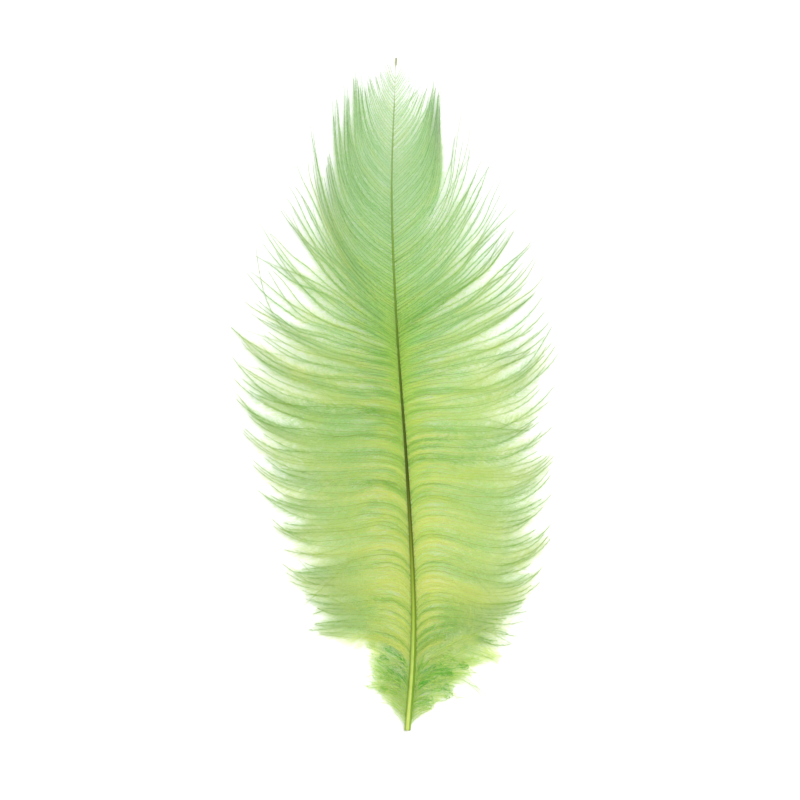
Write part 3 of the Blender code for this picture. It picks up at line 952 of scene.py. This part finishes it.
def shaft_material():
    """Lime horn at the quill and dark olive further up, with fine streaks along it; a painted highlight on
    the ridge near the quill, painted shade in the groove, and a pale tip that is partly painted light.
    """
    n = Nodes("dyed_shaft")
    place, across, inside = n.attribute("place"), n.attribute("across"), n.attribute("inside")
    # ridge on top: paler than the flanks near the quill, a painted highlight. Near the tip all three
    # palettes turn pale: a thin, see-through shaft, and partly painted light where it washes out.
    ridge = n.palette(
        place, (0, 216, 232, 124), (.1, 196, 222, 108), (.17, 170, 199, 80), (.24, 144, 165, 54),
        (.3, 112, 128, 36), (.38, 68, 82, 16), (.5, 76, 98, 24), (.58, 94, 124, 34), (.68, 122, 158, 54),
        (.8, 136, 170, 80), (.93, 156, 186, 112), (.955, 226, 238, 206), (.984, 232, 240, 214),
        (.99, 140, 150, 52),
    )
    # groove: darker than the flanks along most of its length, painted shade in the recess
    groove = n.palette(
        place, (0, 150, 184, 68), (.05, 128, 172, 50), (.12, 122, 158, 40), (.2, 110, 136, 32),
        (.28, 84, 98, 22), (.38, 54, 66, 10), (.5, 62, 82, 16), (.62, 92, 122, 34), (.7, 118, 154, 52),
        (.8, 132, 166, 76), (.93, 152, 182, 108), (.955, 222, 236, 200), (.984, 230, 240, 210),
        (.99, 140, 150, 52),
    )
    flank = n.palette(
        place, (0, 160, 191, 71), (.1, 160, 192, 84), (.17, 148, 180, 64), (.24, 140, 166, 54),
        (.3, 110, 128, 44), (.38, 84, 102, 30), (.5, 92, 116, 36), (.62, 110, 144, 46),
        (.72, 130, 166, 62), (.8, 138, 172, 84), (.955, 222, 236, 200),
    )
    place_across = n.math("MULTIPLY_ADD", across, 0.5, 0.5)
    colour = n.mix(n.ramp(place_across, (.18, 0), (.3, 1)), flank, ridge)
    colour = n.mix(n.ramp(place_across, (.66, 0), (.76, 1)), colour, groove)
    streak = n.noise((70, 7), place, across, 0, 4)
    colour = n.tint(n.ramp(streak, (.35, .3), (.6, 0)), colour, 96, 116, 30)
    colour = n.tint(n.times(inside, 0.8), colour, 236, 240, 190)
    n.look("Base Color", colour)
    n.look("Roughness", n.ramp(streak, (.3, .34), (.7, .5)))
    n.look("Specular IOR Level", 0.12)
    n.bump(streak, 0.05 * MM)
    return n.material


# ----------------------------------------
# Pieces


def add(piece, slot, *replaced):
    """Attaches a piece: it rides on the feather's one body and stands for the CAD nodes named."""
    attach(piece, "root")
    if replaced:
        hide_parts(*replaced)


def part_of(lines, low, high):
    """The barbs from one number to another."""
    return {key: value[low:high] for key, value in lines.items()}


fibre = barb_material()
down = down_material()
sections = (("lower", 0.0, 0.34), ("middle", 0.34, 0.66), ("upper", 0.66, 1.0))
vanes = (
    (-1, "left", VANE_LEFT, LOCKS_LEFT, LENSES_LEFT),
    (1, "right", VANE_RIGHT, LOCKS_RIGHT, LENSES_RIGHT),
)
for side, word, rows, locks, lenses in vanes:
    rng = np.random.default_rng(SEED + side)
    lines = strands(rng, side, rows, locks, lenses)
    count = len(lines["place"])
    for label, low, high in sections:
        chosen = part_of(lines, int(low * count), int(high * count))
        parts = [rami(chosen, VANE_RAMUS, VANE_RAMUS_END), barbules(rng, chosen)]
        add(build(f"barbs_{word}_{label}", parts, chosen, fibre), "vane", f"vane_{word}")

tufts = (
    (-1, "left", DOWN_LEFT, BUNDLES_LEFT, KNOTS_LEFT),
    (1, "right", DOWN_RIGHT, BUNDLES_RIGHT, KNOTS_RIGHT),
)
for side, word, rows, bundles, tangles in tufts:
    rng = np.random.default_rng(SEED + 10 + side)
    layer = even_down(rng, side, rows)
    lines = joined(layer, bundled_down(rng, side, bundles), knots(rng, side, tangles))
    parts = [rami(lines, DOWN_RAMUS, DOWN_RAMUS_END), barbules(rng, lines, DOWN_BARBULES)]
    add(build(f"down_{word}_barbs", parts, lines, down), "down", f"down_{word}")

rng = np.random.default_rng(SEED + 20)
lines = loose_strands(rng, LOOSE_BARBS)
parts = [rami(lines, LOOSE_RAMUS, LOOSE_RAMUS_END), barbules(rng, lines)]
add(build("loose_barbs", parts, lines, fibre), "vane")

add(shaft_surface(shaft_material()), "shaft", "shaft")

# ----------------------------------------
# Floor, light and camera

LENGTH_SHARE = 0.84  # of the picture's height that the feather fills
FLOOR_SIZE, FLOOR_DROP = 4.0, 0.0002  # metres
FLOOR_GLOW = 0.17  # the floor is a light table, so the gaps between barbs stay white
OFF_CENTRE = (0.005, -0.0075)  # of the camera from the feather's middle, as shares of the picture
SENSOR, LENS = 36.0, 135.0  # millimetres
SKY, SOFTBOX_POWER, SOFTBOX_SIZE = 0.75, 12.0, 1.2


def plain_floor():
    """A pale sheet that the feather lies on."""
    bpy.ops.mesh.primitive_plane_add(size=FLOOR_SIZE, location=(0, 0, -FLOOR_DROP))
    floor = bpy.context.object
    floor.name = "floor"
    n = Nodes("floor")
    n.look("Base Color", (0.93, 0.93, 0.93, 1.0))
    n.look("Roughness", 0.9)
    n.look("Specular IOR Level", 0.1)
    n.look("Emission Color", (1.0, 1.0, 1.0, 1.0))
    n.look("Emission Strength", FLOOR_GLOW)
    floor.data.materials.append(n.material)


def light():
    """An even white surround and one large soft lamp, high up at the right."""
    world = bpy.data.worlds.new("studio")
    world.use_nodes = True
    surround = world.node_tree.nodes["Background"].inputs
    surround["Color"].default_value = (1.0, 1.0, 1.0, 1.0)
    surround["Strength"].default_value = SKY
    bpy.context.scene.world = world
    lamp = bpy.data.lights.new("softbox", "AREA")
    lamp.shape, lamp.size, lamp.energy = "DISK", SOFTBOX_SIZE, SOFTBOX_POWER
    made = placed("softbox", lamp)
    made.location = (0.5, 0.4, 1.4)
    made.rotation_euler = (math.radians(-15), math.radians(19), 0.0)


def camera():
    """Looks straight down from far above, with the feather's tip at the top of the picture."""
    low, high = cad_box
    lens = bpy.data.cameras.new("camera")
    lens.sensor_width, lens.lens = SENSOR, LENS
    picture = (high[1] - low[1]) / LENGTH_SHARE
    lens.clip_start, lens.clip_end = 0.01, 20.0
    made = placed("camera", lens)
    made.location = (OFF_CENTRE[0] * picture, OFF_CENTRE[1] * picture, picture * LENS / SENSOR)
    bpy.context.scene.camera = made


plain_floor()
light()
camera()
bpy.context.scene.view_settings.view_transform = "Standard"
